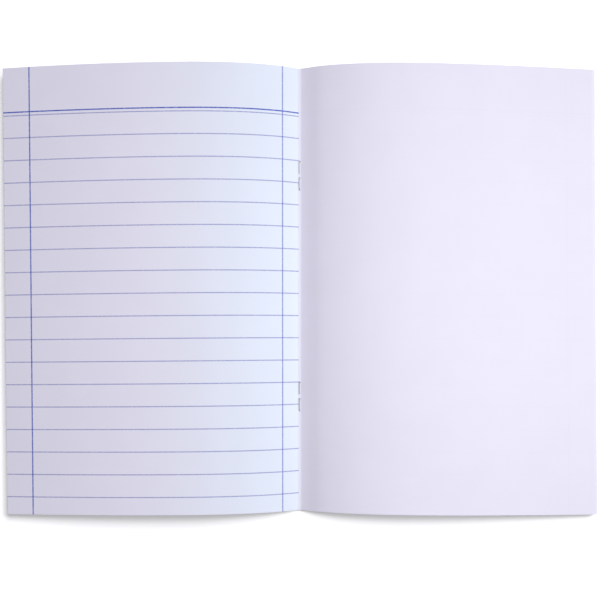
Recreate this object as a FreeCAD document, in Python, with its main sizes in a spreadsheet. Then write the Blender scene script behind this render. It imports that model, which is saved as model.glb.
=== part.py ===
import FreeCAD, Part
import math
import os

import Sketcher

# An open composition notebook, saddle stitched, lying on its covers at the centre spread.
# X runs across the spread with the ruled left page at -X, Y runs up the page to its head
# and Z is up. The origin is on the table under the middle of the fold. Millimetres.

Vector = FreeCAD.Vector
Constraint = Sketcher.Constraint

# Driving dimensions, one row each: alias, value, what it measures.
DRIVING_DIMENSIONS = [
    ("page_height", 210.0, "page from head to tail"),
    ("leaf_width", 140.5, "innermost leaf along the paper, from the fold line to the fore-edge"),
    ("sheet_count", 8, "folded sheets, each a leaf on the left and a leaf on the right"),
    ("paper_thickness", 0.1, "one sheet of writing paper"),
    ("fold_half_width", 0.4, "flat strip each side of the fold line on the innermost sheet"),
    ("turn_radius", 1.5, "turn with which a leaf lifts out of the fold, on its upper face"),
    ("cover_thickness", 0.3, "card of the cover"),
    ("cover_settle_run", 12.0, "run over which a cover comes down from the spine to the table"),
    ("cover_overhang", 0.5, "cover beyond the fore-edge of the outermost leaf"),
    ("crease_gap", 0.1, "opening of the crease beside which the front cover starts"),
    ("leaf_rest_gap", 0.15, "air under the lowest leaf where it lies along a cover"),
    ("wire_diameter", 0.5, "stitching wire"),
    ("crown_length", 13.4, "staple over its legs"),
    ("clinch_length", 5.5, "clinched leg from the outside of its bend to its tip"),
    ("bend_radius", 0.4, "bends of the wire, on its centre line"),
    ("pierce_clearance", 0.05, "slit in the fold beyond the wire, all round"),
    ("head_staple_inset", 51.0, "middle of the upper staple from the head edge"),
    ("tail_staple_inset", 54.0, "middle of the lower staple from the tail edge"),
    ("rise_stretch", 12.0, "first stretch of a leaf, where it springs out of the fold"),
    ("shoulder_stretch", 20.0, "second stretch, where it bends over"),
    ("crest_stretch", 22.0, "third stretch, up to the crest"),
    ("fall_stretch", 36.0, "fourth stretch, where it starts to fall; the rest runs out"),
    ("left_edge_height", 7.5, "fore-edge of the top left leaf above the fold"),
    ("left_rise_angle", 30.0, "slope of the top left leaf as it leaves the fold, in degrees"),
    ("left_shoulder_angle", 18.5, "its slope after the first stretch"),
    ("left_crest_angle", 7.5, "its slope after the second stretch"),
    ("left_top_angle", 0.0, "its slope after the third stretch"),
    ("left_fall_angle", -2.5, "its slope after the fourth stretch"),
    ("right_edge_height", 2.8, "fore-edge of the top right leaf above the fold"),
    ("right_rise_angle", 27.0, "slope of the top right leaf as it leaves the fold, in degrees"),
    ("right_shoulder_angle", 17.0, "its slope after the first stretch"),
    ("right_crest_angle", 8.0, "its slope after the second stretch"),
    ("right_top_angle", 1.5, "its slope after the third stretch"),
    ("right_fall_angle", -6.0, "its slope after the fourth stretch"),
]

# Dimensions that follow: alias, formula, what it measures.
FOLLOWING_DIMENSIONS = [
    ("wire_radius", "=wire_diameter / 2", "half the wire"),
    ("creep_step", "=pi / 2 * paper_thickness", "how much further a sheet reaches than the next one in"),
    ("crease_offset", "=fold_half_width + creep_step * (sheet_count - 1)", "crease of the cover from the fold line"),
    ("free_width", "=leaf_width - fold_half_width", "leaf from its turn to its fore-edge"),
    ("settled_offset", "=crease_offset + cover_settle_run", "fold line to where the cover lies flat"),
    ("settle_radius", "=(cover_settle_run ^ 2 + wire_diameter ^ 2) / (2 * wire_diameter)", "curve of the settling cover"),
    ("cover_reach", "=crease_offset + free_width + cover_overhang", "fold line to the fore-edge of a cover"),
    ("front_cover_start", "=crease_offset + crease_gap", "fold line to the inner edge of the front cover"),
    ("spine_height", "=wire_diameter + cover_thickness", "inside of the cover at the spine"),
    ("fold_height", "=spine_height + paper_thickness * sheet_count", "bottom of the valley, the hinge line"),
    ("leg_offset", "=crown_length / 2 - wire_radius", "staple's middle to the centre line of a leg"),
    ("tip_offset", "=crown_length / 2 - clinch_length", "staple's middle to the tip of a clinched leg"),
    ("clinch_height", "=fold_height + wire_radius", "centre line of the clinched legs"),
    ("slit_width", "=wire_diameter + 2 * pierce_clearance", "slit across the fold"),
    ("slit_outer", "=crown_length / 2 + pierce_clearance", "staple's middle to the outer end of a slit"),
    ("slit_inner", "=leg_offset - bend_radius - wire_radius - pierce_clearance", "the same to its inner end"),
    ("head_staple_y", "=page_height / 2 - head_staple_inset", "middle of the upper staple"),
    ("tail_staple_y", "=tail_staple_inset - page_height / 2", "middle of the lower staple"),
]

LEFT, RIGHT = -1, 1
SIDE_NAME = {LEFT: "left", RIGHT: "right"}

doc = FreeCAD.newDocument("open_notebook")
sizes = doc.addObject("Spreadsheet::Sheet", "sizes")
for row, (alias, content, meaning) in enumerate(DRIVING_DIMENSIONS + FOLLOWING_DIMENSIONS, 1):
    sizes.set(f"A{row}", meaning)
    sizes.set(f"B{row}", str(content))
    sizes.setAlias(f"B{row}", alias)
doc.recompute()


def size(alias):
    """Value of one dimension, in millimetres, degrees or pieces."""
    return float(getattr(sizes, alias))


def add_body(label):
    body = doc.addObject("PartDesign::Body", label)
    body.Label = label
    return body


def add_sketch(body, name, plane):
    """Sketch attached to one of the body's own origin planes."""
    sketch = body.newObject("Sketcher::SketchObject", name)
    origin_plane = next(item for item in body.Origin.OriginFeatures if item.Role == plane)
    sketch.AttachmentSupport = (origin_plane, "")
    sketch.MapMode = "FlatFace"
    return sketch


def bind(sketch, name, formula, *constraint):
    """Adds a dimension to a sketch and ties it to a formula over the spreadsheet."""
    index = sketch.addConstraint(Constraint(*constraint))
    sketch.renameConstraint(index, name)
    sketch.setExpression(f"Constraints.{name}", formula)


def chain(sketch, links):
    """Joins curve ends: each link is (curve, end, next curve, its end)."""
    for link in links:
        sketch.addConstraint(Constraint("Coincident", *link))


def line(x1, y1, x2, y2):
    return Part.LineSegment(Vector(x1, y1, 0), Vector(x2, y2, 0))


def settle_arc(side, inner, base):
    """Arc that leaves the table tangentially and climbs to the cover's inner edge."""
    radius = size("settle_radius")
    centre = Vector(side * size("settled_offset"), base + radius, 0)
    swing = math.asin((size("settled_offset") - inner) / radius)
    bottom = 1.5 * math.pi
    first, last = (bottom, bottom + swing) if side == LEFT else (bottom - swing, bottom)
    return Part.ArcOfCircle(Part.Circle(centre, Vector(0, 0, 1), radius), first, last)


def arc_end(side, inner, base):
    """Height of that arc over the inner edge."""
    radius = size("settle_radius")
    run = size("settled_offset") - inner
    return base + radius - math.sqrt(radius ** 2 - run ** 2)


def pad_along_page(body, sketch, name):
    pad = body.newObject("PartDesign::Pad", name)
    pad.Profile = sketch
    pad.Midplane = True
    pad.setExpression("Length", "sizes.page_height")
    sketch.Visibility = False
    return pad


# Front cover: the card under the left leaves, from beside the crease to its fore-edge.

def build_front_cover():
    body = add_body("front_cover")
    sketch = add_sketch(body, "front_cover_profile", "XZ_Plane")
    inner, flat, reach = size("front_cover_start"), size("settled_offset"), size("cover_reach")
    thick = size("cover_thickness")
    under, over = arc_end(LEFT, inner, 0), arc_end(LEFT, inner, thick)
    sketch.addGeometry([
        line(-reach, 0, -flat, 0),
        settle_arc(LEFT, inner, 0),
        line(-inner, under, -inner, over),
        settle_arc(LEFT, inner, thick),
        line(-flat, thick, -reach, thick),
        line(-reach, thick, -reach, 0),
    ])
    chain(sketch, [(2, 1, 1, 2), (2, 2, 3, 2), (4, 2, 5, 1), (5, 2, 0, 1)])
    sketch.addConstraint([
        Constraint("Tangent", 0, 2, 1, 1),
        Constraint("Tangent", 4, 1, 3, 1),
        Constraint("Horizontal", 0),
        Constraint("Horizontal", 4),
        Constraint("Vertical", 2),
        Constraint("Vertical", 5),
        Constraint("PointOnObject", 0, 1, -1),
        Constraint("Equal", 1, 3),
    ])
    bind(sketch, "fore_edge", "sizes.cover_reach", "DistanceX", 0, 1, -1, 1, reach)
    bind(sketch, "flat_from", "sizes.settled_offset", "DistanceX", 0, 2, -1, 1, flat)
    bind(sketch, "inner_edge", "sizes.front_cover_start", "DistanceX", 2, 1, -1, 1, inner)
    bind(sketch, "card", "sizes.cover_thickness", "DistanceY", 5, 2, 5, 1, thick)
    bind(sketch, "settle", "sizes.settle_radius", "Radius", 1, size("settle_radius"))
    body.Tip = pad_along_page(body, sketch, "front_cover_card")
    return body


# Back cover: the card under the right leaves, with the spine strip that the staples pierce.

def build_back_cover():
    body = add_body("back_cover")
    sketch = add_sketch(body, "back_cover_profile", "XZ_Plane")
    crease, flat, reach = size("crease_offset"), size("settled_offset"), size("cover_reach")
    thick, lift = size("cover_thickness"), size("wire_diameter")
    top = size("spine_height")
    sketch.addGeometry([
        line(-crease, lift, crease, lift),
        settle_arc(RIGHT, crease, 0),
        line(flat, 0, reach, 0),
        line(reach, 0, reach, thick),
        line(reach, thick, flat, thick),
        settle_arc(RIGHT, crease, thick),
        line(crease, top, -crease, top),
        line(-crease, top, -crease, lift),
    ])
    chain(sketch, [(0, 2, 1, 1), (2, 2, 3, 1), (3, 2, 4, 1), (5, 1, 6, 1), (6, 2, 7, 1), (7, 2, 0, 1)])
    sketch.addConstraint([
        Constraint("Tangent", 1, 2, 2, 1),
        Constraint("Tangent", 4, 2, 5, 2),
        Constraint("Horizontal", 2),
        Constraint("Horizontal", 4),
        Constraint("Vertical", 3),
        Constraint("Vertical", 7),
        Constraint("Horizontal", 6),
        Constraint("PointOnObject", 2, 1, -1),
        Constraint("Symmetric", 0, 1, 0, 2, -2),
        Constraint("Equal", 1, 5),
    ])
    bind(sketch, "fore_edge", "sizes.cover_reach", "DistanceX", -1, 1, 2, 2, reach)
    bind(sketch, "flat_from", "sizes.settled_offset", "DistanceX", -1, 1, 2, 1, flat)
    bind(sketch, "spine", "2 * sizes.crease_offset", "DistanceX", 0, 1, 0, 2, 2 * crease)
    bind(sketch, "card", "sizes.cover_thickness", "DistanceY", 3, 1, 3, 2, thick)
    bind(sketch, "settle", "sizes.settle_radius", "Radius", 1, size("settle_radius"))
    pad_along_page(body, sketch, "back_cover_card")

    slits = add_sketch(body, "staple_slits", "XY_Plane")
    half = size("slit_width") / 2
    inner, outer = size("slit_inner"), size("slit_outer")
    for staple in ("head_staple_y", "tail_staple_y"):
        for end in (LEFT, RIGHT):
            middle = size(staple)
            near, far = sorted((middle + end * inner, middle + end * outer))
            first = slits.GeometryCount
            slits.addGeometry([
                line(-half, near, half, near),
                line(half, near, half, far),
                line(half, far, -half, far),
                line(-half, far, -half, near),
            ])
            chain(slits, [(first + k, 2, first + (k + 1) % 4, 1) for k in range(4)])
            slits.addConstraint([
                Constraint("Horizontal", first + 2),
                Constraint("Vertical", first + 3),
                Constraint("Symmetric", first, 1, first, 2, -2),
            ])
            tag = f"{staple[:4]}_{'upper' if end == RIGHT else 'lower'}"
            low, high = ("slit_inner", "slit_outer") if end == RIGHT else ("-slit_outer", "-slit_inner")
            low_formula = f"sizes.{staple} + sizes.{low}".replace("+ sizes.-", "- sizes.")
            high_formula = f"sizes.{staple} + sizes.{high}".replace("+ sizes.-", "- sizes.")
            bind(slits, f"{tag}_width", "sizes.slit_width", "DistanceX", first, 1, first, 2, 2 * half)
            bind(slits, f"{tag}_from", low_formula, "DistanceY", -1, 1, first, 1, near)
            bind(slits, f"{tag}_to", high_formula, "DistanceY", -1, 1, first + 2, 1, far)
    pocket = body.newObject("PartDesign::Pocket", "pierced_slits")
    pocket.Profile = slits
    pocket.Type = "ThroughAll"
    pocket.Reversed = True
    slits.Visibility = False
    body.Tip = pocket
    return body


# Staples: round wire, crown outside the spine, legs up through the fold, tips clinched
# towards each other along the valley of the centre spread.

def build_staple(label):
    body = add_body(label)
    path = add_sketch(body, f"{label}_path", "YZ_Plane")
    radius, bend = size("wire_radius"), size("bend_radius")
    leg, tip, high = size("leg_offset"), size("tip_offset"), size("clinch_height")

    def quarter(y, z, first):
        return Part.ArcOfCircle(
            Part.Circle(Vector(y, z, 0), Vector(0, 0, 1), bend),
            math.radians(first), math.radians(first + 90))

    path.addGeometry([
        line(-tip, high, -leg + bend, high),
        quarter(-leg + bend, high - bend, 90),
        line(-leg, high - bend, -leg, radius + bend),
        quarter(-leg + bend, radius + bend, 180),
        line(-leg + bend, radius, leg - bend, radius),
        quarter(leg - bend, radius + bend, 270),
        line(leg, radius + bend, leg, high - bend),
        quarter(leg - bend, high - bend, 0),
        line(leg - bend, high, tip, high),
    ])
    path.addConstraint([
        Constraint("Tangent", 0, 2, 1, 1),
        Constraint("Tangent", 1, 2, 2, 1),
        Constraint("Tangent", 2, 2, 3, 1),
        Constraint("Tangent", 3, 2, 4, 1),
        Constraint("Tangent", 4, 2, 5, 1),
        Constraint("Tangent", 5, 2, 6, 1),
        Constraint("Tangent", 6, 2, 7, 1),
        Constraint("Tangent", 7, 2, 8, 1),
        Constraint("Horizontal", 4),
        Constraint("Vertical", 2),
        Constraint("Vertical", 6),
        Constraint("Horizontal", 0),
        Constraint("Horizontal", 8),
        Constraint("Equal", 1, 3),
        Constraint("Equal", 1, 5),
        Constraint("Equal", 1, 7),
    ])
    bind(path, "bend", "sizes.bend_radius", "Radius", 1, bend)
    bind(path, "near_leg", "sizes.leg_offset", "DistanceX", 2, 1, -1, 1, leg)
    bind(path, "far_leg", "sizes.leg_offset", "DistanceX", -1, 1, 6, 1, leg)
    bind(path, "near_tip", "sizes.tip_offset", "DistanceX", 0, 1, -1, 1, tip)
    bind(path, "far_tip", "sizes.tip_offset", "DistanceX", -1, 1, 8, 2, tip)
    bind(path, "crown", "sizes.wire_radius", "DistanceY", -1, 1, 4, 1, radius)
    bind(path, "clinch", "sizes.clinch_height", "DistanceY", -1, 1, 0, 1, high)

    section = add_sketch(body, f"{label}_wire_section", "XZ_Plane")
    section.setExpression("AttachmentOffset.Base.z", "sizes.tip_offset")
    section.addGeometry(Part.Circle(Vector(0, high, 0), Vector(0, 0, 1), radius))
    section.addConstraint(Constraint("PointOnObject", 0, 3, -2))
    bind(section, "wire", "sizes.wire_radius", "Radius", 0, radius)
    bind(section, "clinch", "sizes.clinch_height", "DistanceY", -1, 1, 0, 3, high)

    wire = body.newObject("PartDesign::AdditivePipe", f"{label}_wire")
    wire.Profile = section
    wire.Spine = path
    path.Visibility = False
    section.Visibility = False
    body.Tip = wire
    body.setExpression("Placement.Base.y", f"sizes.{label}_y")
    return body


# Pages: all the folded sheets as one solid. In section they are a comb, stacked tight over
# the spine and fanned to both sides. Every leaf keeps its length along the paper and bends
# in stretches of constant curvature, so its lower face is concentric with its upper face.

def advance(length, before, after):
    """How far along and how far up a stretch of even curvature leads."""
    half = (after - before) / 2
    chord = length if abs(half) < 1e-9 else length * math.sin(half) / half
    return chord * math.cos(before + half), chord * math.sin(before + half)


def stretches_with(slopes):
    """Stretches of a leaf as (length, slope before, slope after), without the last one."""
    lengths = [size(name) for name in ("rise_stretch", "shoulder_stretch", "crest_stretch", "fall_stretch")]
    turn = abs(slopes[0]) * size("turn_radius")
    lengths[0] -= turn
    stretches = list(zip(lengths, slopes, slopes[1:]))
    if turn > 0:
        stretches.insert(0, (turn, 0.0, slopes[0]))
    return stretches


def last_stretch(stretches):
    """What is left of the leaf's width for its last stretch."""
    return size("free_width") - sum(length for length, _, _ in stretches)


def top_slopes(side):
    """Slopes along the top leaf, in radians, the last of them set by its fore-edge's height."""
    name = SIDE_NAME[side]
    slopes = [math.radians(size(f"{name}_{station}_angle"))
              for station in ("rise", "shoulder", "crest", "top", "fall")]
    stretches = stretches_with(slopes)
    climbed = sum(advance(*stretch)[1] for stretch in stretches)
    mean = math.asin((size(f"{name}_edge_height") - climbed) / last_stretch(stretches))
    return slopes + [2 * mean - slopes[-1]]


def lowest_slopes():
    """Slopes along the lowest leaf, which comes down from the spine to lie on its cover."""
    drop = size("wire_diameter") - size("leaf_rest_gap")
    settle = 2 * drop / (size("rise_stretch") + size("shoulder_stretch"))
    return [0.0, -settle, 0.0, 0.0, 0.0, 0.0]


def leaf_stretches(side, index):
    """Stretches of one leaf, its slopes blended from the top leaf's to the lowest leaf's."""
    share = index / (size("sheet_count") - 1)
    slopes = [(1 - share) * a + share * b for a, b in zip(top_slopes(side), lowest_slopes())]
    stretches = stretches_with(slopes)
    return stretches + [(last_stretch(stretches), slopes[-2], slopes[-1])]


def leaf_faces(side, index):
    """Upper and lower face of one leaf in section, each a list of edges from the fold out."""
    paper = size("paper_thickness")
    x = size("fold_half_width") + size("creep_step") * index
    z = size("fold_height") - paper * index
    upper, lower = [], []
    for length, before, after in leaf_stretches(side, index):
        swing = after - before
        points = []
        for share in (0.0, 0.5, 1.0):
            slope = before + swing * share
            along, up = advance(length * share, before, slope)
            points.append((x + along, z + up, slope))
        for depth, edges in ((0.0, upper), (paper, lower)):
            a, b, c = (Vector(side * (px + depth * math.sin(slope)), 0, pz - depth * math.cos(slope))
                       for px, pz, slope in points)
            curve = Part.LineSegment(a, c) if abs(swing) < 1e-9 else Part.Arc(a, b, c)
            edges.append(curve.toShape())
        x, z, _ = points[-1]
    return upper, lower


def straight(a, b):
    return Part.LineSegment(a, b).toShape()


def half_comb(side):
    """Edges of one side of the section, from the top of the fold down to its underside."""
    count = int(size("sheet_count"))
    edges = []
    last_point = None
    for index in range(count):
        upper, lower = leaf_faces(side, index)
        if last_point:
            edges.append(straight(last_point, upper[0].valueAt(upper[0].FirstParameter)))
        fore_edge = straight(upper[-1].valueAt(upper[-1].LastParameter),
                             lower[-1].valueAt(lower[-1].LastParameter))
        edges += upper + [fore_edge] + list(reversed(lower))
        last_point = lower[0].valueAt(lower[0].FirstParameter)
    return edges


def build_pages():
    left, right = half_comb(LEFT), half_comb(RIGHT)
    top_z, under_z = size("fold_height"), size("spine_height")
    top_x, under_x = size("fold_half_width"), size("crease_offset")
    closing = [
        straight(Vector(-top_x, 0, top_z), Vector(top_x, 0, top_z)),
        straight(Vector(under_x, 0, under_z), Vector(-under_x, 0, under_z)),
    ]
    outline = Part.Wire(Part.__sortEdges__(right + [closing[1]] + left + [closing[0]]))
    height = size("page_height")
    section = Part.Face(outline)
    section.translate(Vector(0, -height / 2, 0))
    solid = section.extrude(Vector(0, height, 0))
    width, inner, outer = size("slit_width"), size("slit_inner"), size("slit_outer")
    margin = size("paper_thickness")
    deep = size("fold_height") - size("spine_height") + 2 * margin
    for staple in ("head_staple_y", "tail_staple_y"):
        for start in (inner, -outer):
            corner = Vector(-width / 2, size(staple) + start, size("spine_height") - margin)
            solid = solid.cut(Part.makeBox(width, outer - inner, deep, corner))
    pages = doc.addObject("Part::Feature", "pages")
    pages.Label = "pages"
    pages.Shape = solid
    pages.Placement = FreeCAD.Placement()
    return pages


parts = [
    build_pages(),
    build_back_cover(),
    build_front_cover(),
    build_staple("head_staple"),
    build_staple("tail_staple"),
]
doc.recompute()

for item in doc.Objects:
    if "Invalid" in item.State or "Error" in item.State:
        raise RuntimeError(f"{item.Label} did not compute: {item.State}")

os.makedirs("parts", exist_ok=True)
for item in parts:
    if item.Shape.isNull() or not item.Shape.isValid():
        raise RuntimeError(f"{item.Label} has no valid shape")
    if len(item.Shape.Solids) != 1:
        raise RuntimeError(f"{item.Label} has {len(item.Shape.Solids)} solids")
    box = item.Shape.BoundBox
    print(f"{item.Label}: volume {item.Shape.Volume:.1f} mm3, x {box.XMin:.2f} to {box.XMax:.2f}, "
          f"y {box.YMin:.2f} to {box.YMax:.2f}, z {box.ZMin:.3f} to {box.ZMax:.3f}")
    item.Shape.exportStep(f"parts/{item.Label}.step")
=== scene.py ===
import logging
import math
from dataclasses import dataclass
from enum import Enum

import bpy
import numpy as np
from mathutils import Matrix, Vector


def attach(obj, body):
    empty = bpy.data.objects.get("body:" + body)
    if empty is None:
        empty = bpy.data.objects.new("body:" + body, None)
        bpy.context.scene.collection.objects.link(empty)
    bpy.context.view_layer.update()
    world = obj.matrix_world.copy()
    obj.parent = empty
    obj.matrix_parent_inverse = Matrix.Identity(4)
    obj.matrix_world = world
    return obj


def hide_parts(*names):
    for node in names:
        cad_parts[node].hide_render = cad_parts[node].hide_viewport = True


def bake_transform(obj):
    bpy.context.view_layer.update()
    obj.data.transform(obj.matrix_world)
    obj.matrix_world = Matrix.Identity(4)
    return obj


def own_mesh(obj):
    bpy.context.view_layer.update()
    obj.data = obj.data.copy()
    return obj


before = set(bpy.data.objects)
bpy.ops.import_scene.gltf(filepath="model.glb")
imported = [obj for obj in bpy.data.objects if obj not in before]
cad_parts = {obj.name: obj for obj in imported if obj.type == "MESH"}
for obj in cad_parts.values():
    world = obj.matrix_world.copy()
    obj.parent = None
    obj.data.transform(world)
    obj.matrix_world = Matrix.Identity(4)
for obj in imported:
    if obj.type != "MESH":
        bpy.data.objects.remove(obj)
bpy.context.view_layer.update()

# Looks for the open composition notebook: paper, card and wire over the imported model,
# with a pale table, soft light and a camera straight above. Sizes of the notebook are in
# millimetres until a mesh is made.

LOG = logging.getLogger("notebook")
MM = 0.001

ROOT_BODY = "bound_notebook"
FRONT_BODY = "front_cover_half"

# Angles from which an edge is shaded sharp, in degrees
SHARP_PLATE = 40
SHARP_WIRE = 50


class Side(Enum):
    """The two halves of the spread."""

    LEFT = -1
    RIGHT = 1


@dataclass(frozen=True)
class NotebookSize:
    """Real sizes of the notebook, in millimetres, mostly as in the CAD model.

    The cover's overhang and cut differ from it, since the photo shows no card beyond the
    leaves. Press is how far the leaves would sink in when the notebook closes; it is not used
    here. The staples' places are distances of their middles from the head edge.
    """

    page_height: float = 210.0
    leaf_width: float = 140.5
    sheet_count: int = 8
    paper: float = 0.1
    fold_half_width: float = 0.4
    turn_radius: float = 1.5
    card: float = 0.3
    settle_run: float = 12.0
    cover_overhang: float = -0.4
    front_cover_cut: float = 1.7
    leaf_rest_gap: float = 0.15
    wire: float = 0.5
    press: float = 0.03
    crown: float = 13.4
    clinch: float = 5.5
    head_staple: float = 51.0
    tail_staple: float = 156.0

    @property
    def creep(self) -> float:
        """How much further each sheet reaches than the one inside it."""
        return math.pi / 2 * self.paper

    @property
    def crease(self) -> float:
        """Distance from the fold line to the creases of the cover."""
        return self.turn_start(self.sheet_count - 1)

    @property
    def free_width(self) -> float:
        """Length of a leaf from its turn to its fore-edge."""
        return self.leaf_width - self.fold_half_width

    @property
    def spine_height(self) -> float:
        """Height of the cover's inner face at the spine."""
        return self.wire + self.card

    @property
    def fold_height(self) -> float:
        """Height of the valley line on which the notebook hinges."""
        return self.spine_height + self.paper * self.sheet_count

    def turn_start(self, index: int) -> float:
        """Distance from the fold line at which a sheet's leaves start to lift."""
        return self.fold_half_width + self.creep * index

    def sheet_height(self, index: int) -> float:
        """Height of a sheet's upper face over the fold."""
        return self.fold_height - self.paper * index


@dataclass(frozen=True)
class LeafShape:
    """How the leaves of one side arch and lie.

    Slopes are degrees at the stations along the paper. The fan gives, for each leaf from
    the top down, its share of the way to the lowest leaf. The cut is how much less each of
    them reaches. Twist is the extra arch at the head over the middle. Skew moves the
    fore-edge outwards at the head, droop moves it towards the tail, and trim is missing
    from the outer head corner. Cut, skew, droop and trim are in millimetres.
    """

    side: Side
    slopes: tuple[float, ...]
    fan: tuple[float, ...]
    cut: tuple[float, ...]
    twist: float
    skew: float
    droop: float
    trim: float


@dataclass(frozen=True)
class Ruling:
    """Ruling of one page, in millimetres from the head edge or along the paper."""

    header: float = 21.2
    header_gap: float = 1.62
    first_rule: float = 33.3
    pitch: float = 10.53
    count: int = 17
    outer_margin: float = 127.7
    inner_margin: float = 8.8
    line: float = 0.5
    header_line: float = 0.62
    margin_line: float = 0.62


@dataclass(frozen=True)
class MeshSteps:
    """How finely the shown meshes are divided, as numbers of points unless said.

    The section is worked out at about every 0.1 mm, and its slopes are smoothed over some
    points to each side. The bend of a leaf near its turn has points of its own.
    """

    section: int = 1402
    smoothing: int = 30
    bend: int = 7
    bend_end_mm: float = 1.2
    leaf: int = 64
    top_leaf_columns: int = 19
    leaf_columns: int = 9
    strip: int = 13
    strip_columns: int = 3
    spine: int = 9
    settle: int = 13
    rest: int = 14
    cover_columns: int = 7


@dataclass(frozen=True)
class Waver:
    """Slight unevenness of a leaf's face, as a share of its height above the lowest leaf.

    It is a product of two waves, one slanting along the leaf and one across it, that
    grows towards the fore-edge. The numbers other than the share are in radians.
    """

    share: float = 0.012
    along: float = 5.1
    slant: float = 1.7
    offset: float = 0.8
    across: float = 2.2
    shift: float = 0.5

    def over(self, u: np.ndarray, v: np.ndarray, side: int) -> np.ndarray:
        """Share of the height that the waves add.

        Args:
            u: place along the leaf, 0 to 1.
            v: place across it, -1 at the tail to 1 at the head.
            side: -1 on the left, 1 on the right.

        Returns:
            The share at each place.
        """
        slanting = np.sin(self.along * u + self.slant * v + self.offset * side)
        return self.share * slanting * np.sin(self.across * v + self.shift) * u


SIZE = NotebookSize()
STEPS = MeshSteps()
WAVER = Waver()

# Distances along the paper at which the slopes of a leaf are given, in millimetres
STATIONS = (0.0, 6.5, 12.0, 32.0, 54.0, 90.0, SIZE.free_width)
LEFT_LEAVES = LeafShape(
    side=Side.LEFT,
    slopes=(30.0, 25.0, 18.5, 7.3, 0.0, -4.0, -8.0),
    fan=(0.0, 0.05, 0.11, 0.19, 0.30, 0.46, 0.70, 1.0),
    cut=(0.0, 0.2, 0.5, 0.85, 1.2, 1.6, 1.8, 1.7),
    twist=0.01,
    skew=1.1,
    droop=1.15,
    trim=0.3,
)
RIGHT_LEAVES = LeafShape(
    side=Side.RIGHT,
    slopes=(20.0, 27.0, 17.5, 7.0, -0.5, -5.0, -7.0),
    fan=(0.0, 0.06, 0.12, 0.21, 0.31, 0.48, 0.72, 1.0),
    cut=(0.0, 0.05, 0.1, 0.2, 0.3, 0.4, 0.5, 0.5),
    twist=-0.02,
    skew=-0.8,
    droop=1.55,
    trim=0.0,
)


def linear(hex_colour: str) -> tuple[float, float, float, float]:
    """Linear colour of an sRGB hex code.

    Args:
        hex_colour: six hex digits.

    Returns:
        Red, green, blue and alpha, linear.
    """
    channels = [int(hex_colour[i:i + 2], 16) / 255 for i in (0, 2, 4)]
    red, green, blue = (
        c / 12.92 if c <= 0.04045 else ((c + 0.055) / 1.055) ** 2.4 for c in channels)
    return red, green, blue, 1.0


@dataclass(frozen=True)
class Grain:
    """Scale and detail of a noise."""

    scale: float
    detail: float


@dataclass(frozen=True)
class Tooth:
    """Fine relief of a surface, with its depth in metres."""

    grain: Grain
    strength: float
    depth: float


class NodeGraph:
    """Node tree of one material or of the world, with one way to add to it."""

    def __init__(self, tree: bpy.types.NodeTree) -> None:
        self.tree = tree
        tree.nodes.clear()

    def add(
        self, kind: str, settings: dict | None = None, inputs: dict | None = None
    ) -> bpy.types.Node:
        """Adds a node, sets it and links it.

        Args:
            kind: Blender's node type.
            settings: properties of the node.
            inputs: socket name or number to a value, or to the output that feeds it.

        Returns:
            The node.
        """
        node = self.tree.nodes.new(kind)
        for name, value in (settings or {}).items():
            setattr(node, name, value)
        for name, value in (inputs or {}).items():
            socket = node.inputs[name]
            if isinstance(value, bpy.types.NodeSocket):
                self.tree.links.new(value, socket)
            else:
                socket.default_value = value
        return node

    def math(self, operation: str, first: object, second: object = 0.0) -> bpy.types.NodeSocket:
        """Result of one Math node."""
        node = self.add("ShaderNodeMath", {"operation": operation}, {0: first, 1: second})
        return node.outputs[0]

    def mix(self, share: object, low: object, high: object) -> bpy.types.NodeSocket:
        """Colour between two colours."""
        node = self.add("ShaderNodeMix", {"data_type": "RGBA"}, {0: share, 6: low, 7: high})
        return node.outputs[2]

    def scale(self, colour: object, share: object) -> bpy.types.NodeSocket:
        """Colour made darker by a share."""
        node = self.add("ShaderNodeVectorMath", {"operation": "SCALE"}, {0: colour, "Scale": share})
        return node.outputs[0]

    def smooth(
        self, value: object, low: float, high: float, first: float, last: float
    ) -> bpy.types.NodeSocket:
        """Smooth step from first to last as the value goes from low to high."""
        node = self.add(
            "ShaderNodeMapRange",
            {"interpolation_type": "SMOOTHSTEP"},
            {"Value": value, "From Min": low, "From Max": high, "To Min": first, "To Max": last},
        )
        return node.outputs["Result"]

    def noise(self, grain: Grain) -> bpy.types.NodeSocket:
        """Noise in the object's own space, from 0 to 1."""
        place = self.add("ShaderNodeTexCoord")
        node = self.add("ShaderNodeTexNoise", inputs={
            "Vector": place.outputs["Object"], "Scale": grain.scale, "Detail": grain.detail})
        return node.outputs["Fac"]

    def relief(self, tooth: Tooth) -> bpy.types.NodeSocket:
        """Normal of a surface with a fine tooth."""
        node = self.add("ShaderNodeBump", inputs={
            "Strength": tooth.strength, "Distance": tooth.depth, "Height": self.noise(tooth.grain)})
        return node.outputs[0]

    def shade(self, inputs: dict) -> None:
        """Ends the graph in one Principled surface."""
        surface = self.add("ShaderNodeBsdfPrincipled", inputs=inputs)
        self.add("ShaderNodeOutputMaterial", inputs={"Surface": surface.outputs[0]})


@dataclass(frozen=True)
class Fade:
    """Smooth step between two values over a range."""

    low: float
    high: float
    first: float = 1.0
    last: float = 0.0

    def of(self, graph: NodeGraph, value: object) -> bpy.types.NodeSocket:
        """The step, laid over a value."""
        return graph.smooth(value, self.low, self.high, self.first, self.last)


def new_material(name: str) -> tuple[bpy.types.Material, NodeGraph]:
    """Empty material with its node graph."""
    material = bpy.data.materials.new(name)
    material.use_nodes = True
    return material, NodeGraph(material.node_tree)


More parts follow.
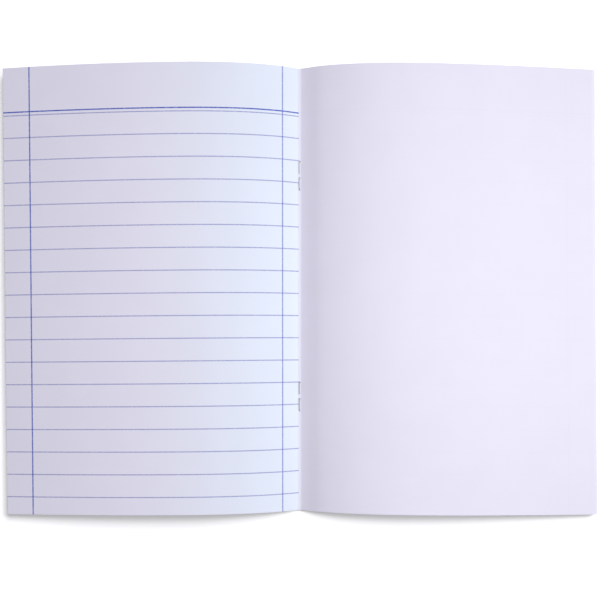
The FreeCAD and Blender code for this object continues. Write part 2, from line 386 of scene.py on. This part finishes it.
@dataclass(frozen=True)
class PierceShade:
    """Painted shade at a staple's wire in the centre fold, with lengths in millimetres.

    Depths are how dark the painted shade is: where the upper leg pierces the paper, under the
    tip of the lower leg and where the lower leg pierces it.
    """

    depths: tuple[float, float, float] = (0.75, 0.6, 0.4)
    shift: float = 0.1
    reach: tuple[float, float] = (0.25, 0.7)
    near_fold: Fade = Fade(0.2, 0.6)

    def marks(self, staple: float) -> tuple[tuple[float, float], ...]:
        """Place and depth of each mark of one staple.

        Args:
            staple: distance of the staple's middle from the head edge.

        Returns:
            Pairs of distance from the head edge and depth.
        """
        upper, lower = staple - SIZE.crown / 2, staple + SIZE.crown / 2
        return tuple(zip((upper + self.shift, lower - SIZE.clinch, lower), self.depths))


@dataclass(frozen=True)
class WritingPaper:
    """Smooth uncoated writing paper, ruled in blue on one side.

    The fibre gives the eye a faint mottle and a soft, matt surface. The lines are printed
    thin, so they break up a little. A weak ruling is what shows through from the reverse.
    The inner colour is painted light: a cooler cast on the paper towards the fold.
    """

    name: str
    ruling_strength: float
    # Colour of the painted cool light on the paper towards the fold; the paper's own unless given
    inner: str = "D4D2E2"
    paper: str = "D4D2E2"
    ink: str = "565CA8"
    header_ink: str = "3C50AC"
    # Colour of the painted shade in the staple holes and under the lower legs' tips
    pierce_shade_colour: str = "3A3A40"
    rule_share: float = 0.65
    outer_share: float = 0.92
    inner_share: float = 0.7
    line_blur: float = 0.12
    roughness: float = 0.82
    specular: float = 0.22
    # Span of the painted cool light, in millimetres from the fold
    painted_cool_light: Fade = Fade(8.0, 85.0)
    speckle: Grain = Grain(1400.0, 2.0)
    breaks: Fade = Fade(0.30, 0.55, 0.72, 1.0)
    cloud: Grain = Grain(60.0, 3.0)
    mottle: Fade = Fade(0.3, 0.7, 0.985, 1.0)
    fibre: Tooth = Tooth(Grain(900.0, 4.0), 0.12, 0.00004)
    ruling: Ruling = Ruling()
    # Painted shade at the staples
    pierce_shade: PierceShade = PierceShade()

    def line_mask(self, graph: NodeGraph, distance: object, width: float) -> bpy.types.NodeSocket:
        """Soft-edged mask that is one on a line and zero off it.

        Args:
            graph: the material's nodes.
            distance: distance from the line's middle, in millimetres.
            width: printed width, in millimetres.

        Returns:
            The mask.
        """
        half = width / 2
        return Fade(half - self.line_blur, half + self.line_blur).of(
            graph, graph.math("ABSOLUTE", distance))

    def pierce_shade_mask(self, graph: NodeGraph, along: object, down: object) -> bpy.types.NodeSocket:
        """Mask of painted shade in the holes that the wire pierces and under its inner tips.

        Args:
            graph: the material's nodes.
            along: distance from the fold, in millimetres.
            down: distance from the head edge, in millimetres.

        Returns:
            The mask of painted shade, as deep as each mark at its middle.
        """
        marks = 0.0
        for staple in (SIZE.head_staple, SIZE.tail_staple):
            for place, depth in self.pierce_shade.marks(staple):
                away = graph.math("ABSOLUTE", graph.math("SUBTRACT", down, place))
                mark = graph.smooth(away, *self.pierce_shade.reach, depth, 0.0)
                marks = graph.math("MAXIMUM", marks, mark)
        return graph.math("MULTIPLY", self.pierce_shade.near_fold.of(graph, along), marks)

    def thin_lines(self, graph: NodeGraph, down: object) -> bpy.types.NodeSocket:
        """Mask of the rules and of the thin line under the head rule.

        Args:
            graph: the material's nodes.
            down: distance from the head edge, in millimetres.

        Returns:
            The mask.
        """
        ruling = self.ruling
        step = graph.math("DIVIDE", graph.math("SUBTRACT", down, ruling.first_rule), ruling.pitch)
        nearest = graph.math("ROUND", step)
        off_rule = graph.math("MULTIPLY", graph.math("SUBTRACT", step, nearest), ruling.pitch)
        on_page = graph.math(
            "MULTIPLY",
            graph.math("GREATER_THAN", nearest, -0.5),
            graph.math("LESS_THAN", nearest, ruling.count - 0.5),
        )
        rules = graph.math("MULTIPLY", self.line_mask(graph, off_rule, ruling.line), on_page)
        off_second = graph.math("SUBTRACT", down, ruling.header + ruling.header_gap)
        return graph.math("MAXIMUM", rules, self.line_mask(graph, off_second, ruling.line))

    def strong_lines(
        self, graph: NodeGraph, along: object, down: object
    ) -> bpy.types.NodeSocket:
        """Mask of the head rule and of both margin lines.

        Args:
            graph: the material's nodes.
            along: distance from the fold, in millimetres.
            down: distance from the head edge, in millimetres.

        Returns:
            The mask, with the strength of each line in it.
        """
        ruling = self.ruling
        lines = [self.line_mask(graph, graph.math("SUBTRACT", down, ruling.header), ruling.header_line)]
        for margin, share in (
            (ruling.outer_margin, self.outer_share),
            (ruling.inner_margin, self.inner_share),
        ):
            off_margin = graph.math("SUBTRACT", along, margin)
            line = self.line_mask(graph, off_margin, ruling.margin_line)
            lines.append(graph.math("MULTIPLY", line, share))
        header, outer, inner = lines
        return graph.math("MAXIMUM", header, graph.math("MAXIMUM", outer, inner))

    def build(self) -> bpy.types.Material:
        """Makes the material."""
        material, graph = new_material(self.name)
        uv = graph.add("ShaderNodeUVMap", {"uv_map": "page"})
        split = graph.add("ShaderNodeSeparateXYZ", inputs={0: uv.outputs[0]})
        along = graph.math("MULTIPLY", graph.math("ABSOLUTE", split.outputs[0]), 1 / MM)
        down = graph.math("MULTIPLY", split.outputs[1], 1 / MM)

        # Painted cool light: the paper turns to the inner colour towards the fold
        painted_light_share = self.painted_cool_light.of(graph, along)
        white = graph.mix(painted_light_share, linear(self.paper), linear(self.inner))
        colour = graph.scale(white, self.mottle.of(graph, graph.noise(self.cloud)))
        breaks = self.breaks.of(graph, graph.noise(self.speckle))
        for lines, share, ink in (
            (self.thin_lines(graph, down), self.rule_share, self.ink),
            (self.strong_lines(graph, along, down), 1.0, self.header_ink),
        ):
            broken = graph.math("MULTIPLY", lines, breaks)
            printed = graph.math("MULTIPLY", broken, share * self.ruling_strength)
            colour = graph.mix(printed, colour, linear(ink))
        # Painted shade in the staple holes and under the lower legs' tips, near the fold
        colour = graph.mix(self.pierce_shade_mask(graph, along, down), colour, linear(self.pierce_shade_colour))
        graph.shade({
            "Base Color": colour, "Roughness": self.roughness,
            "Specular IOR Level": self.specular, "Normal": graph.relief(self.fibre)})
        return material


@dataclass(frozen=True)
class CoverCard:
    """Plain uncoated card of the cover.

    A dense board surface: the eye reads a matt face with slow clouding and a faint tooth.
    """

    name: str
    colour: str
    roughness: float
    specular: float = 0.3
    cloud: Grain = Grain(45.0, 4.0)
    clouding: Fade = Fade(0.3, 0.7, 0.95, 1.0)
    tooth: Tooth = Tooth(Grain(700.0, 3.0), 0.2, 0.00006)

    def build(self) -> bpy.types.Material:
        """Makes the material."""
        material, graph = new_material(self.name)
        clouding = self.clouding.of(graph, graph.noise(self.cloud))
        graph.shade({
            "Base Color": graph.scale(linear(self.colour)[:3], clouding),
            "Roughness": self.roughness, "Specular IOR Level": self.specular,
            "Normal": graph.relief(self.tooth)})
        return material


@dataclass(frozen=True)
class StitchingWire:
    """Drawn galvanised steel wire: a soft metal sheen, slightly uneven in its zinc."""

    name: str = "galvanised_wire"
    colour: str = "9E9EA2"
    zinc: Grain = Grain(2500.0, 2.0)
    roughness: Fade = Fade(0.3, 0.7, 0.34, 0.48)

    def build(self) -> bpy.types.Material:
        """Makes the material."""
        material, graph = new_material(self.name)
        graph.shade({
            "Base Color": linear(self.colour), "Metallic": 1.0,
            "Roughness": self.roughness.of(graph, graph.noise(self.zinc))})
        return material


@dataclass(frozen=True)
class PaleTable:
    """Evenly lit white table: it reads as pure white, with only soft shade near the object."""

    name: str = "pale_table"
    colour: str = "E0E0E4"
    lift: float = 0.35

    def build(self) -> bpy.types.Material:
        """Makes the material."""
        material, graph = new_material(self.name)
        matt = graph.add("ShaderNodeBsdfDiffuse", inputs={"Color": linear(self.colour)})
        ray = graph.add("ShaderNodeLightPath")
        glow = graph.add("ShaderNodeEmission", inputs={
            "Color": linear("FFFFFF"),
            "Strength": graph.math("MULTIPLY", ray.outputs["Is Camera Ray"], self.lift)})
        both = graph.add("ShaderNodeAddShader", inputs={0: matt.outputs[0], 1: glow.outputs[0]})
        graph.add("ShaderNodeOutputMaterial", inputs={"Surface": both.outputs[0]})
        return material


@dataclass(frozen=True)
class Section:
    """Upper face of a leaf in section: position along the paper, place and slope."""

    along: np.ndarray
    x: np.ndarray
    z: np.ndarray
    slope: np.ndarray


def leaf_section(shape: LeafShape, share: float, index: int) -> Section:
    """Section of one leaf, with its true length along the paper.

    Args:
        shape: the arch of that side.
        share: 0 for the top leaf, 1 for the lowest one.
        index: the sheet, from the top down.

    Returns:
        The section at fine steps, starting at the turn.
    """
    # The lowest leaf sinks by the drop between the first and the fourth station
    drop = SIZE.wire - SIZE.leaf_rest_gap
    dip = -2 * drop / STATIONS[3]
    lowest = np.array([0.0, dip * STATIONS[1] / STATIONS[2], dip, 0.0, 0.0, 0.0, 0.0])
    slopes = (1 - share) * np.radians(shape.slopes) + share * lowest
    along = np.linspace(0, SIZE.free_width, STEPS.section)
    slope = np.interp(along, STATIONS, slopes)
    reach = STEPS.smoothing
    padded = np.concatenate([np.full(reach, slope[0]), slope, np.full(reach, slope[-1])])
    kernel = np.hanning(2 * reach + 1)
    slope = np.convolve(padded, kernel / kernel.sum(), "valid")
    turn = abs(slopes[0]) * SIZE.turn_radius
    if turn > 0:
        slope = slope * np.clip(along / turn, 0, 1)
    step = np.diff(along)
    middle = (slope[1:] + slope[:-1]) / 2
    x = SIZE.turn_start(index) + np.concatenate([[0], np.cumsum(np.cos(middle) * step)])
    z = SIZE.sheet_height(index) + np.concatenate([[0], np.cumsum(np.sin(middle) * step)])
    return Section(along, x, z, slope)


def add_object(name: str, mesh: bpy.types.Mesh) -> bpy.types.Object:
    """Puts a mesh into the scene."""
    made = bpy.data.objects.new(name, mesh)
    bpy.context.scene.collection.objects.link(made)
    return made


def plate_mesh(name: str, upper: np.ndarray, lower: np.ndarray, page: np.ndarray) -> bpy.types.Mesh:
    """Closed thin plate between two grids of points.

    Args:
        name: name of the mesh.
        upper: upper face, rows by columns by 3, in millimetres.
        lower: lower face, the same way.
        page: place on the paper of each grid point, in metres, rows by columns by 2.

    Returns:
        A mesh whose faces have material 0 above, 1 below and 2 on the rims.
    """
    rows, columns = upper.shape[:2]
    count = rows * columns
    points = np.concatenate([upper.reshape(-1, 3), lower.reshape(-1, 3)]) * MM
    grid = np.arange(count).reshape(rows, columns)
    a, b = grid[:-1, :-1].ravel(), grid[1:, :-1].ravel()
    c, d = grid[1:, 1:].ravel(), grid[:-1, 1:].ravel()
    top = np.stack([a, b, c, d], 1)
    bottom = top[:, ::-1] + count
    ring = np.concatenate([grid[:, 0], grid[-1, 1:], grid[-2::-1, -1], grid[0, -2:0:-1]])
    following = np.roll(ring, -1)
    rim = np.stack([following, ring, ring + count, following + count], 1)
    faces = np.concatenate([top, bottom, rim])
    first, second, third = (points[faces[0][k]] for k in range(3))
    if np.cross(second - first, third - first)[2] < 0:
        faces = faces[:, ::-1]
    mesh = bpy.data.meshes.new(name)
    mesh.from_pydata(points.tolist(), [], faces.tolist())
    marks = np.concatenate([np.zeros(len(top)), np.ones(len(bottom)), np.full(len(rim), 2)])
    mesh.polygons.foreach_set("material_index", marks.astype(np.int32))
    mesh.polygons.foreach_set("use_smooth", marks < 2)
    places = np.concatenate([page.reshape(-1, 2)] * 2)
    layer = mesh.uv_layers.new(name="page")
    corners = np.zeros(len(mesh.loops), np.int32)
    mesh.loops.foreach_get("vertex_index", corners)
    layer.data.foreach_set("uv", places[corners].astype(np.float32).ravel())
    mesh.set_sharp_from_angle(angle=math.radians(SHARP_PLATE))
    mesh.update()
    return mesh


@dataclass(frozen=True)
class PaperSet:
    """The two faces of the writing paper and its cut edge."""

    ruled: bpy.types.Material
    blank: bpy.types.Material
    edge: bpy.types.Material


@dataclass(frozen=True)
class Leaf:
    """One leaf, from its turn at the fold to its fore-edge."""

    shape: LeafShape
    index: int

    def grid(self) -> tuple[np.ndarray, np.ndarray, np.ndarray]:
        """Upper face, lower face and place on the paper of the leaf.

        Returns:
            Three grids, rows along the paper and columns from tail to head.
        """
        shape, side = self.shape, self.shape.side.value
        line = leaf_section(shape, shape.fan[self.index], self.index)
        lowest = leaf_section(shape, 1.0, self.index)
        bend = np.linspace(0, STEPS.bend_end_mm, STEPS.bend)[:-1]
        width = SIZE.free_width - shape.cut[self.index]
        picks = np.concatenate([bend, np.linspace(STEPS.bend_end_mm, width, STEPS.leaf)])
        x, z, slope, base = (np.interp(picks, line.along, values)
                             for values in (line.x, line.z, line.slope, lowest.z))
        columns = STEPS.top_leaf_columns if self.index == 0 else STEPS.leaf_columns
        v = np.linspace(-1, 1, columns)[None, :]
        u = (picks / SIZE.free_width)[:, None]
        lift = (z - base)[:, None] * (1 + shape.twist * v + WAVER.over(u, v, side))
        high = base[:, None] + lift
        out = x[:, None] + shape.skew * v * u
        corner = shape.trim * u ** 4 * np.clip(v, 0, 1)
        down = SIZE.page_height / 2 * v - shape.droop * u - corner
        upper = np.stack([side * out, down + 0 * high, high], 2)
        tilt = slope[:, None] * (1 + shape.twist * v)
        normal = np.stack([-side * np.sin(tilt), 0 * tilt, np.cos(tilt)], 2)
        page = np.stack([
            side * (SIZE.fold_half_width + picks[:, None] + 0 * v) * MM,
            (SIZE.page_height / 2 * (1 - v) + corner) * MM,
        ], 2)
        return upper, upper - SIZE.paper * normal, page

    def build(self, papers: PaperSet) -> None:
        """Makes the leaf and hangs it on the body of its half."""
        name = f"leaf_{self.shape.side.name.lower()}_{self.index + 1}"
        mesh = plate_mesh(name, *self.grid())
        left = self.shape.side is Side.LEFT
        faces = (papers.ruled, papers.blank) if left else (papers.blank, papers.ruled)
        for material in (*faces, papers.edge):
            mesh.materials.append(material)
        leaf = add_object(name, mesh)
        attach(leaf, FRONT_BODY if left else ROOT_BODY)
        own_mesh(leaf)


@dataclass(frozen=True)
class FoldStrip:
    """The folded middle of one sheet."""

    index: int

    def build(self, papers: PaperSet) -> bpy.types.Object:
        """Makes the strip between the turns of the two leaves."""
        name = f"fold_{self.index + 1}"
        half = SIZE.turn_start(self.index)
        across = np.linspace(-half, half, STEPS.strip)[:, None]
        v = np.linspace(-1, 1, STEPS.strip_columns)[None, :]
        high = SIZE.sheet_height(self.index) + 0 * across * v
        upper = np.stack([across + 0 * v, SIZE.page_height / 2 * v + 0 * across, high], 2)
        page = np.stack([
            across * (SIZE.fold_half_width / half) * MM + 0 * v,
            (SIZE.page_height / 2 * (1 - v) + 0 * across) * MM,
        ], 2)
        mesh = plate_mesh(name, upper, upper - np.array([0, 0, SIZE.paper]), page)
        for material in (papers.blank, papers.blank, papers.edge):
            mesh.materials.append(material)
        strip = add_object(name, mesh)
        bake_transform(strip)
        return strip


class PageBlock:
    """All sheets of the notebook, leaf by leaf."""

    def __init__(self) -> None:
        self.papers = PaperSet(
            # The ruled side's inner colour is painted light, a cooler cast towards the fold
            ruled=WritingPaper("ruled_writing_paper", ruling_strength=1.0, inner="CDD4E3").build(),
            blank=WritingPaper("blank_writing_paper", ruling_strength=0.02).build(),
            edge=CoverCard("cut_paper_edge", "EDEDF2", 0.85).build(),
        )

    def build(self) -> None:
        """Makes every sheet and hides the CAD solid that stands for them."""
        for index in range(SIZE.sheet_count):
            strip = FoldStrip(index).build(self.papers)
            if index == 0:
                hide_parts("pages")
            for shape in (LEFT_LEAVES, RIGHT_LEAVES):
                Leaf(shape, index).build(self.papers)
            LOG.info("sheet %d: two leaves and their fold", index + 1)


class CardCover:
    """The folded cover: both halves and the spine between them."""

    def section(self) -> tuple[np.ndarray, np.ndarray]:
        """Lower face of the card in section.

        Returns:
            Distances across the spread and heights over the table.
        """
        reach = SIZE.crease + SIZE.free_width + SIZE.cover_overhang
        flat = SIZE.crease + SIZE.settle_run
        radius = (SIZE.settle_run ** 2 + SIZE.wire ** 2) / (2 * SIZE.wire)
        spine = np.linspace(0, SIZE.crease, STEPS.spine)
        settle = np.linspace(SIZE.crease, flat, STEPS.settle)[1:]
        rest = np.linspace(flat, reach, STEPS.rest)[1:]
        half = np.concatenate([spine, settle, rest])
        high = np.where(
            half <= SIZE.crease,
            SIZE.wire,
            radius - np.sqrt(radius ** 2 - np.clip(flat - half, 0, SIZE.settle_run) ** 2),
        )
        left = np.minimum(half, reach - SIZE.front_cover_cut)
        return np.concatenate([-left[:0:-1], half]), np.concatenate([high[:0:-1], high])

    def build(self) -> None:
        """Makes the cover as one card across the spine."""
        across, high = (values[:, None] for values in self.section())
        v = np.linspace(-1, 1, STEPS.cover_columns)[None, :]
        lower = np.stack([across + 0 * v, SIZE.page_height / 2 * v + 0 * across, high + 0 * v], 2)
        page = np.stack([
            across * MM + 0 * v,
            (SIZE.page_height / 2 * (1 - v)) * MM + 0 * across,
        ], 2)
        mesh = plate_mesh("cover", lower + np.array([0, 0, SIZE.card]), lower, page)
        inside = CoverCard("white_card_inside", "E6E6EA", 0.8).build()
        outside = CoverCard("pale_grey_card", "C9CCD0", 0.7).build()
        for material in (inside, outside, inside):
            mesh.materials.append(material)
        cover = add_object("cover", mesh)
        SIZE.crease * MM
        -SIZE.crease * MM
        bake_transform(cover)
        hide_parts("back_cover", "front_cover")
        LOG.info("cover: one folded card")


class Staples:
    """The wire staples, as modelled in CAD."""

    def build(self) -> None:
        """Gives the CAD staples their wire."""
        wire = StitchingWire().build()
        for node in ("head_staple", "tail_staple"):
            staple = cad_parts[node]
            staple.data.materials.clear()
            staple.data.materials.append(wire)
            for face in staple.data.polygons:
                face.use_smooth = True
            staple.data.set_sharp_from_angle(angle=math.radians(SHARP_WIRE))
            LOG.info("%s: clinched wire", node)


@dataclass(frozen=True)
class SoftBox:
    """Square light aimed at the notebook, with its place, aim and width in metres."""

    name: str
    place: tuple[float, float, float]
    aim: tuple[float, float, float]
    width: float
    watts: float
    colour: str

    def build(self) -> None:
        """Adds the light."""
        light = bpy.data.lights.new(self.name, "AREA")
        light.shape = "SQUARE"
        light.size = self.width
        light.energy = self.watts
        light.color = linear(self.colour)[:3]
        made = bpy.data.objects.new(self.name, light)
        made.location = self.place
        view = Vector(self.aim) - Vector(self.place)
        made.rotation_euler = view.to_track_quat("-Z", "Y").to_euler()
        made.visible_camera = False
        bpy.context.scene.collection.objects.link(made)


@dataclass(frozen=True)
class DistantLight:
    """Soft light from far away, even over the whole table, with its spread in degrees."""

    name: str
    toward: tuple[float, float, float]
    spread: float
    strength: float
    colour: str

    def build(self) -> None:
        """Adds the light."""
        light = bpy.data.lights.new(self.name, "SUN")
        light.energy = self.strength
        light.angle = math.radians(self.spread)
        light.color = linear(self.colour)[:3]
        made = bpy.data.objects.new(self.name, light)
        made.rotation_euler = Vector(self.toward).to_track_quat("Z", "Y").to_euler()
        bpy.context.scene.collection.objects.link(made)


@dataclass(frozen=True)
class Studio:
    """Table, light and camera: soft light from the upper right, camera overhead.

    The table's half width and the clip distances are in metres, the lens and its sensor in
    millimetres. The camera's place is in millimetres from the valley of the fold. The sky
    lights the notebook in its own colour and is seen in the backdrop's.
    """

    table_half_width: float = 3.0
    camera_height: float = 400.0
    camera_x: float = 0.24
    camera_y: float = -31.3
    lens: float = 50.45
    sensor: float = 36.0
    shift_y: float = 0.0917
    clip: tuple[float, float] = (0.01, 20.0)
    sky: str = "EEF1FF"
    sky_strength: float = 0.09
    backdrop: str = "FFFFFF"
    lamp: SoftBox = SoftBox(
        name="lamp_right",
        place=(0.15, 0.01, 0.35),
        aim=(0.0, 0.0, 0.0),
        width=0.12,
        watts=0.645,
        colour="FFFDFA",
    )
    window: DistantLight = DistantLight(
        name="window",
        toward=(0.50, 0.6, 1.0),
        spread=30.0,
        strength=2.80,
        colour="FFFFFF",
    )

    def add_table(self) -> None:
        """Adds the table top."""
        half = self.table_half_width
        table = bpy.data.meshes.new("table")
        table.from_pydata(
            [(-half, -half, 0), (half, -half, 0), (half, half, 0), (-half, half, 0)],
            [],
            [(0, 1, 2, 3)],
        )
        table.materials.append(PaleTable().build())
        floor = add_object("table_top", table)

    def add_sky(self) -> None:
        """Sets the light and the colour of the surroundings."""
        world = bpy.data.worlds.new("soft_room")
        world.use_nodes = True
        graph = NodeGraph(world.node_tree)
        ray = graph.add("ShaderNodeLightPath")
        seen = graph.math("MAXIMUM", ray.outputs["Is Camera Ray"], ray.outputs["Is Glossy Ray"])
        sky = graph.add("ShaderNodeBackground", inputs={
            "Color": graph.mix(seen, linear(self.sky), linear(self.backdrop)),
            "Strength": graph.math("MAXIMUM", seen, self.sky_strength)})
        graph.add("ShaderNodeOutputWorld", inputs={"Surface": sky.outputs[0]})
        bpy.context.scene.world = world

    def add_camera(self) -> None:
        """Adds the camera over the fold."""
        lens = bpy.data.cameras.new("overhead")
        lens.lens = self.lens
        lens.sensor_width = self.sensor
        lens.shift_y = self.shift_y
        lens.dof.use_dof = False
        lens.clip_start, lens.clip_end = self.clip
        camera = bpy.data.objects.new("overhead", lens)
        height = SIZE.fold_height + self.camera_height
        camera.location = (self.camera_x * MM, self.camera_y * MM, height * MM)
        bpy.context.scene.collection.objects.link(camera)
        bpy.context.scene.camera = camera

    def build(self) -> None:
        """Sets the stage round the notebook."""
        self.add_table()
        self.add_sky()
        self.lamp.build()
        self.window.build()
        bpy.context.scene.view_settings.view_transform = "Standard"
        self.add_camera()
        LOG.info("studio: table, soft light and overhead camera")


def main() -> None:
    """Builds the notebook's looks and its stage."""
    logging.basicConfig(level=logging.INFO, format="%(name)s: %(message)s")
    PageBlock().build()
    CardCover().build()
    Staples().build()
    Studio().build()


if __name__ == "__main__":
    main()
